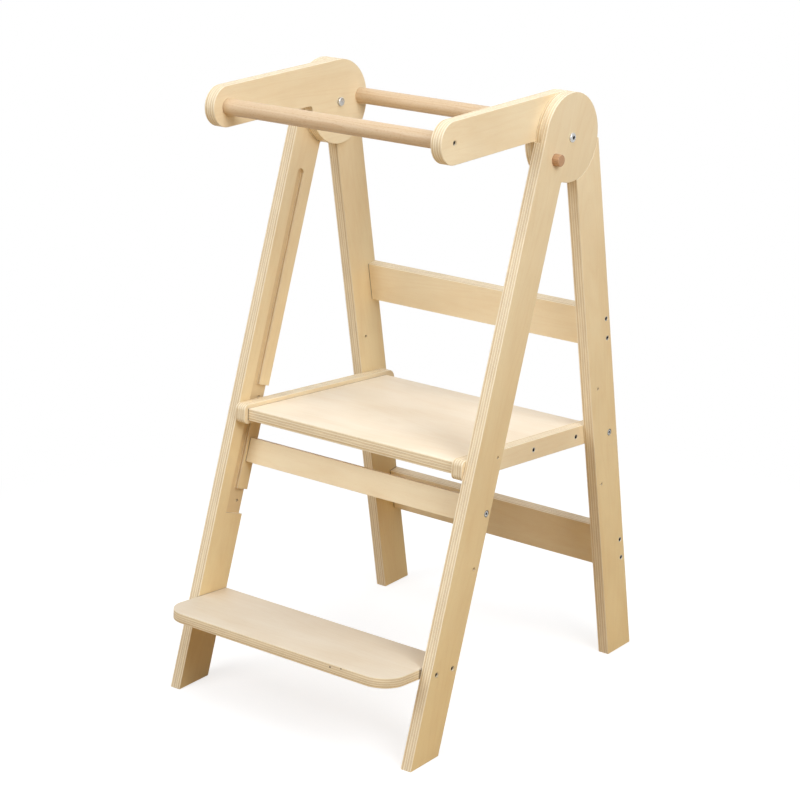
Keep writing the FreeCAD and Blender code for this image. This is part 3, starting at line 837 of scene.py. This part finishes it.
class STOOL_OT_platform(bpy.types.Operator):
    """Standing board and the two side bars that carry it"""
    bl_idname = "stool.platform"
    bl_label = "Platform"

    def execute(self, context):
        board_piece("platform_board", X, DECK_BACK, DECK_UP, SEEDS["platform"],
                    tones_of("deck", "platform"))
        for seed, side in enumerate(("left", "right"), SEEDS["bar"]):
            upright_piece(side + "_side_bar", DECK_BACK, X, seed,
                          tones_of("leg", "bar"))
        return {"FINISHED"}


class STOOL_OT_handrail_arms(bpy.types.Operator):
    """Arms of the handrail with their round heads"""
    bl_idname = "stool.handrail_arms"
    bl_label = "Handrail arms"

    def execute(self, context):
        for seed, side in enumerate(("left", "right"), SEEDS["arm"]):
            upright_piece(side + "_handrail_arm", Y, X, seed, tones_of("leg", "arm"))
        return {"FINISHED"}


def turned_beech(node, end, around, pale, deep, seed):
    """A turned piece that lies across the stool, from the profile of its left end: places from
    the piece's middle, and radii."""
    profile = np.concatenate([end, end[::-1] * (-1, 1)])
    rings = turned(profile, centre_of(node), around)
    material = solid_beech(node + "_beech", centre_of(node), pale, deep, seed)
    place(node + "_wood", mesh_of(node, [shell(rings)]), node, material)


class STOOL_OT_dowels(bpy.types.Operator):
    """Round beech rails between the arms"""
    bl_idname = "stool.dowels"
    bl_label = "Dowels"
    inset: length("Inset", "Distance from a dowel's end to its first ring", 0.001, 0.05, 0.01)
    rings: bpy.props.IntProperty(
        name="Rings", description="Rings along half a dowel", min=1, max=50, default=12)

    def execute(self, context):
        look = wood()
        for seed, node in enumerate(("front_dowel", "back_dowel"), SEEDS["dowel"]):
            half, radius = size_of(node).x / 2, size_of(node).z / 2
            places = np.linspace(-half + self.inset, half - self.inset, 2 * self.rings)
            body = np.stack([places[:self.rings], np.full(self.rings, radius)], 1)
            corner = [(-half, radius - look.ease), (-half + look.ease, radius)]
            turned_beech(node, np.concatenate([corner, body]), 64, look.beech_pale,
                         look.beech_deep, seed)
        return {"FINISHED"}


class STOOL_OT_pegs(bpy.types.Operator):
    """Turned locking pegs at the heads"""
    bl_idname = "stool.pegs"
    bl_label = "Locking pegs"
    ease: length("Eased corner", "Radius of the pegs' rounded ends", 0.0005, 0.004, 0.0016)

    def execute(self, context):
        look = wood()
        bend = np.linspace(math.pi / 2, 0, 6)
        for seed, side in enumerate(("left", "right"), SEEDS["peg"]):
            node = side + "_locking_peg"
            half, radius = size_of(node).x / 2, size_of(node).z / 2
            corner = np.stack([-half + self.ease * (1 - np.sin(bend)),
                               radius - self.ease * (1 - np.cos(bend))], 1)
            turned_beech(node, np.concatenate([[(-half, radius * 0.4)], corner]), 48,
                         look.peg_pale, look.peg_deep, seed)
        return {"FINISHED"}


# ---------------- screws, bolts and rollers
AROUND_SCREW = 36                    # points round a screw
AROUND_BOLT = 48                     # points round a bolt
NICK = 0.0001                        # depth of the eased lip of a socket

# Sizes of the bolts.  A head's crown is the height of its rounded rim.
SUNK_BOLT = {"head": 0.005, "head_height": 0.003, "shank": 0.003, "socket": 0.0023,
             "crown": 0.0005, "sunk": True}
DOMED_BOLT = {"head": 0.007, "head_height": 0.0026, "shank": 0.005, "socket": 0.0029,
              "crown": 0.0017, "sunk": False}
BOLTS = {"crossbar_bolts": SUNK_BOLT, "platform_pivot_bolts": SUNK_BOLT,
         "head_pivot_bolts": DOMED_BOLT}
SCREWS = ("step_screws", "upper_rail_screws", "lower_rail_screws", "side_bar_screws",
          "dowel_screws")
PLAIN_STEEL = ("crossbar_nuts", "platform_pivot_nuts", "guide_pins", "head_pivot_nuts")

# Share of painted shadow on the rim of a sunk bolt's head, from the lip of its socket outwards:
# the rim lies deep in its counterbore, where shade falls.
RIM_SHADOW = (0, 0, 0.35, 1, 1, 1, 1)


def hexagon_star(angle):
    """Outline of a six-sided socket, as a share of the distance to its corners."""
    third = math.pi / 3
    return math.cos(third / 2) / np.cos(np.mod(angle, third) - third / 2)


def thread_rows(start, end, root, crest, pitch, around):
    """Places and radii of the rings of a threaded shank: the radius rises from root to crest and
    back once each pitch, and the rise starts later by one pitch for each turn of the angle."""
    rows_in_pitch = 6
    ridge_half = 0.28                # share of the pitch
    rows = int((end - start) / pitch * rows_in_pitch)
    place_at = np.linspace(start, end, rows)[:, None]
    angle = np.linspace(0, 2 * math.pi, around, endpoint=False)[None, :]
    phase = np.mod(place_at / pitch - angle / (2 * math.pi), 1)
    ridge = np.clip(1 - np.abs(phase - 0.5) / ridge_half, 0, 1)
    fade = np.clip((place_at - start) / pitch, 0, 1) * np.clip((end - place_at) / pitch, 0, 1)
    return place_at, root + (crest - root) * ridge * fade


def place_steel(node, make, material):
    """Puts the screws or bolts of a node in the scene as one piece.  From the centre of an outer
    end, a length and a side, make gives one closed surface and the share of painted shadow at
    its points."""
    reach = np.abs(points_of(node)[:, 0])
    long = float(reach.max() - reach.min())
    made = [make(centre, long, side) for side in (-1, 1) for centre in like_solids(node, side)]
    mesh = mesh_of(node, [surface for surface, shadow in made])
    field = mesh.attributes.new("recess", "FLOAT", "POINT")
    shadows = np.concatenate([shadow for surface, shadow in made])
    field.data.foreach_set("value", shadows.astype(np.float32))
    place(node + "_steel", mesh, node, material)


class STOOL_OT_screws(bpy.types.Operator):
    """Countersunk wood screws with six-sided sockets and threaded shanks"""
    bl_idname = "stool.screws"
    bl_label = "Wood screws"
    head_radius: length("Head radius", "Radius of the countersunk head", 0.002, 0.008, 0.0038)
    shank_radius: length("Shank radius", "Radius over the thread", 0.001, 0.004, 0.0022)
    head_height: length("Head height", "Depth of the cone under the head", 0.001, 0.006, 0.0024)
    recess: length("Socket depth", "Depth of the six-sided socket", 0.0005, 0.003, 0.0015)
    point: length("Point", "Length of the point below the thread", 0.002, 0.01, 0.006)

    def screw(self, tip, long, side):
        """A screw from its socket's floor over the head's rim and down the thread to the point.
        The head's profile has, beside place and radius, the share of the socket's outline and the
        share of painted shadow, which darkens the socket's floor and walls."""
        out = Vector((side, 0, 0))
        socket = self.head_radius * 0.78
        # The socket's floor and walls carry painted shadow in the last column.
        head = np.array([
            (-self.recess, socket * 0.3, 1, 1),
            (-self.recess, socket * 0.74, 1, 1),
            (-NICK, socket, 1, 1),
            (0, socket * 1.04, 1, 0),
            (0, self.head_radius - 3 * NICK, 0, 0),
            (-2 * NICK, self.head_radius, 0, 0),
            (-self.head_height, self.shank_radius, 0, 0),
        ])
        top = turned(head, tip, AROUND_SCREW, out, hexagon_star)
        places, radius = thread_rows(self.head_height, long - self.point,
                                     self.shank_radius * 0.74, self.shank_radius,
                                     metal().thread_pitch, AROUND_SCREW)
        outwards = circle_round(out, AROUND_SCREW)[1]
        shank = tip - places[:, :, None] * np.array(out) + radius[:, :, None] * outwards[None]
        end = turned(np.array([(-long + 5 * NICK, self.shank_radius * 0.2)]), tip, AROUND_SCREW,
                     out)
        rings = np.concatenate([top, shank, end])
        shadow = np.zeros(rings.shape[:2])
        shadow[:len(head)] = head[:, 3:]
        return shell(rings), shadow.ravel()

    def execute(self, context):
        material = plated_steel("screw_zinc")
        for node in SCREWS:
            place_steel(node, self.screw, material)
        return {"FINISHED"}


class STOOL_OT_bolts(bpy.types.Operator):
    """Bolts and nuts of the crossbar, the platform pivots and the head pivots"""
    bl_idname = "stool.bolts"
    bl_label = "Bolts and nuts"
    socket_depth: length("Socket depth", "Depth of the six-sided sockets", 0.001, 0.004, 0.0021)

    def bolt(self, tip, long, side, head, head_height, shank, socket, crown, sunk):
        """A bolt from its socket's floor over the head and down the shank.  The rim is a quarter
        ellipse of height crown.  The profile's columns are those of a screw's head, the last being the
        share of painted shadow in the socket and, on a sunk bolt, on the rim and below the head."""
        bend = np.linspace(0, math.pi / 2, len(RIM_SHADOW))
        lip = socket * 1.12
        # A sunk bolt's rim, underside and shank carry painted shadow.
        dark = float(sunk)
        inner = [(-self.socket_depth, socket * 0.5, 1, 1), (-self.socket_depth, socket, 1, 1),
                 (-NICK, socket, 1, 0.6), (0, socket * 1.03, 1, 0)]
        rim = np.stack([-crown * (1 - np.cos(bend)), lip + (head - lip) * np.sin(bend),
                        np.zeros(len(bend)), np.array(RIM_SHADOW) * dark], 1)
        tail = [(-head_height + 2 * NICK, head, 0, dark), (-head_height, head - 2 * NICK, 0, dark),
                (-head_height, shank, 0, dark), (-long + 6 * NICK, shank, 0, dark),
                (-long, shank - 6 * NICK, 0, dark)]
        profile = np.concatenate([inner, rim, tail])
        rings = turned(profile, tip, AROUND_BOLT, Vector((side, 0, 0)), hexagon_star)
        return shell(rings), np.repeat(profile[:, 3], AROUND_BOLT)

    def execute(self, context):
        material = plated_steel("steel_bolt")
        for node, sizes in BOLTS.items():
            place_steel(node, partial(self.bolt, **sizes), material)
        for node in PLAIN_STEEL:
            give_material(frame["nodes"][node].data, material)
        return {"FINISHED"}


class STOOL_OT_rollers(bpy.types.Operator):
    """Nylon guide rollers in the front legs' grooves"""
    bl_idname = "stool.rollers"
    bl_label = "Guide rollers"

    def execute(self, context):
        material = moulded_nylon("nylon")
        for side in ("left", "right"):
            give_material(frame["nodes"][side + "_guide_roller"].data, material)
        return {"FINISHED"}


# ---------------- stage
WHITE = (1.0, 1.0, 1.0)
LAMP_TINT = (0.98, 1.0, 1.03)
FLOOR_REACH = 8.0                    # metres from the stool's middle to the floor's sides
FLOOR_GREY = (0.42, 0.42, 0.42)      # what shows the stool's shadow on the floor
FLOOR_GLOW = 0.72                    # with that grey, this makes the lit floor white
SHADOW_REACH = (0.55, 1.1)           # metres from the stool in which the shadow fades out


def lamp(name, place_at, target, size, power):
    """A square lamp that points at a target."""
    data = bpy.data.lights.new(name, "AREA")
    data.shape = "SQUARE"
    data.size = size
    data.energy = power
    data.color = LAMP_TINT
    made = bpy.data.objects.new(name, data)
    made.location = place_at
    made.rotation_euler = (Vector(target) - Vector(place_at)).to_track_quat("-Z", "Y").to_euler()
    bpy.context.scene.collection.objects.link(made)


class STOOL_OT_stage(bpy.types.Operator):
    """Pale floor, soft studio light and the camera"""
    bl_idname = "stool.stage"
    bl_label = "Stage"
    azimuth: turn("Azimuth", "Camera's turn round the stool, from straight in front", 38.449)
    elevation: turn("Elevation", "Camera's angle above level", 18.625)
    roll: turn("Roll", "Camera's turn about its own line of sight", -0.457)
    distance: length("Distance", "Camera's distance from the point that it looks at", 1, 20, 3.5749)
    target: bpy.props.FloatVectorProperty(
        name="Target", description="Point that the camera looks at", subtype="TRANSLATION",
        unit="LENGTH", size=3, default=(0.00454, 0.00278, 0.43223))

    def camera(self):
        """The photograph's own camera."""
        data = bpy.data.cameras.new("camera")
        data.sensor_width = 36
        data.lens = stage().lens
        back = Vector((math.sin(self.azimuth) * math.cos(self.elevation),
                       -math.cos(self.azimuth) * math.cos(self.elevation),
                       math.sin(self.elevation)))
        right = Vector((math.cos(self.azimuth), math.sin(self.azimuth), 0))
        level = math.cos(self.roll) * right + math.sin(self.roll) * back.cross(right)
        view = Matrix((level, back.cross(level), back)).transposed().to_4x4()
        camera = bpy.data.objects.new("camera", data)
        camera.matrix_world = Matrix.Translation(
            Vector(self.target) + back * self.distance) @ view
        bpy.context.scene.collection.objects.link(camera)
        bpy.context.scene.camera = camera

    def floor(self):
        """The floor lights the stool as warm wood, and is itself seen as white with a soft
        shadow."""
        data = bpy.data.meshes.new("floor")
        corners = [(-FLOOR_REACH, -FLOOR_REACH, 0), (FLOOR_REACH, -FLOOR_REACH, 0),
                   (FLOOR_REACH, FLOOR_REACH, 0), (-FLOOR_REACH, FLOOR_REACH, 0)]
        data.from_pydata(corners, [], [(0, 1, 2, 3)])
        floor = bpy.data.objects.new("floor", data)
        bpy.context.scene.collection.objects.link(floor)
        material = bpy.data.materials.new("floor")
        material.use_nodes = True
        g = Graph(material.node_tree)
        output = g.node("ShaderNodeOutputMaterial")
        lighting = g.shader("ShaderNodeBsdfDiffuse", Color=stage().floor)
        shadowed = g.shader("ShaderNodeBsdfDiffuse", Color=FLOOR_GREY)
        glow = g.shader("ShaderNodeEmission", Strength=FLOOR_GLOW)
        near = g.fill(g.node("ShaderNodeAddShader"), {0: shadowed, 1: glow})
        far = g.shader("ShaderNodeEmission")
        away = g.ramp(g.measure("LENGTH", g.position()), *SHADOW_REACH)
        shown = g.blend(away, near, far)
        g.put(output.inputs["Surface"], g.blend(g.seen_itself(), lighting, shown))
        data.materials.append(material)

    def world(self):
        """Even light from all round, and a white background."""
        world = bpy.data.worlds.new("sky")
        bpy.context.scene.world = world
        world.use_nodes = True
        g = Graph(world.node_tree)
        output = g.node("ShaderNodeOutputWorld")
        light = g.shader("ShaderNodeBackground", Color=WHITE, Strength=stage().sky)
        white = g.shader("ShaderNodeBackground", Color=WHITE)
        g.put(output.inputs["Surface"], g.blend(g.seen_itself(), light, white))

    def execute(self, context):
        look = stage()
        middle = (0, 0, 0.5)
        lamp("key", (-1.2, -3.0, 2.6), middle, 2.2, look.key)
        lamp("top", (0.2, -0.2, 3.2), middle, 2.6, look.top)
        lamp("fill", (2.3, -0.7, 2.1), (0, 0, 0.7), 1.4, look.fill)
        lamp("back", (-0.6, 3.0, 2.7), middle, 2.2, look.back)
        self.floor()
        self.world()
        self.camera()
        context.scene.view_settings.view_transform = "Standard"
        return {"FINISHED"}


STEPS = (STOOL_OT_stage, STOOL_OT_legs, STOOL_OT_rails, STOOL_OT_step, STOOL_OT_platform,
         STOOL_OT_handrail_arms, STOOL_OT_dowels, STOOL_OT_pegs, STOOL_OT_screws, STOOL_OT_bolts,
         STOOL_OT_rollers)


class STOOL_PT_pieces(bpy.types.Panel):
    """Lists the stool's settings and its pieces"""
    bl_label = "Folding helper stool"
    bl_idname = "STOOL_PT_pieces"
    bl_space_type = "VIEW_3D"
    bl_region_type = "UI"
    bl_category = "Stool"

    def draw(self, context):
        for name, group in SETTINGS.items():
            box = self.layout.box()
            box.label(text=group.__doc__)
            for field in group.__annotations__:
                box.prop(getattr(context.scene, name), field)
        for step in STEPS:
            self.layout.operator(step.bl_idname)


def register():
    for group in SETTINGS.values():
        bpy.utils.register_class(group)
    for name, group in SETTINGS.items():
        setattr(bpy.types.Scene, name, bpy.props.PointerProperty(type=group))
    for cls in (*STEPS, STOOL_PT_pieces):
        bpy.utils.register_class(cls)


def unregister():
    for cls in (STOOL_PT_pieces, *reversed(STEPS)):
        bpy.utils.unregister_class(cls)
    for name in SETTINGS:
        delattr(bpy.types.Scene, name)
    for group in SETTINGS.values():
        bpy.utils.unregister_class(group)


def main():
    register()
    for step in STEPS:
        group, name = step.bl_idname.split(".")
        done = getattr(getattr(bpy.ops, group), name)()
        if done != {"FINISHED"}:
            raise RuntimeError(step.bl_label + " could not be made")


if __name__ == "__main__":
    main()
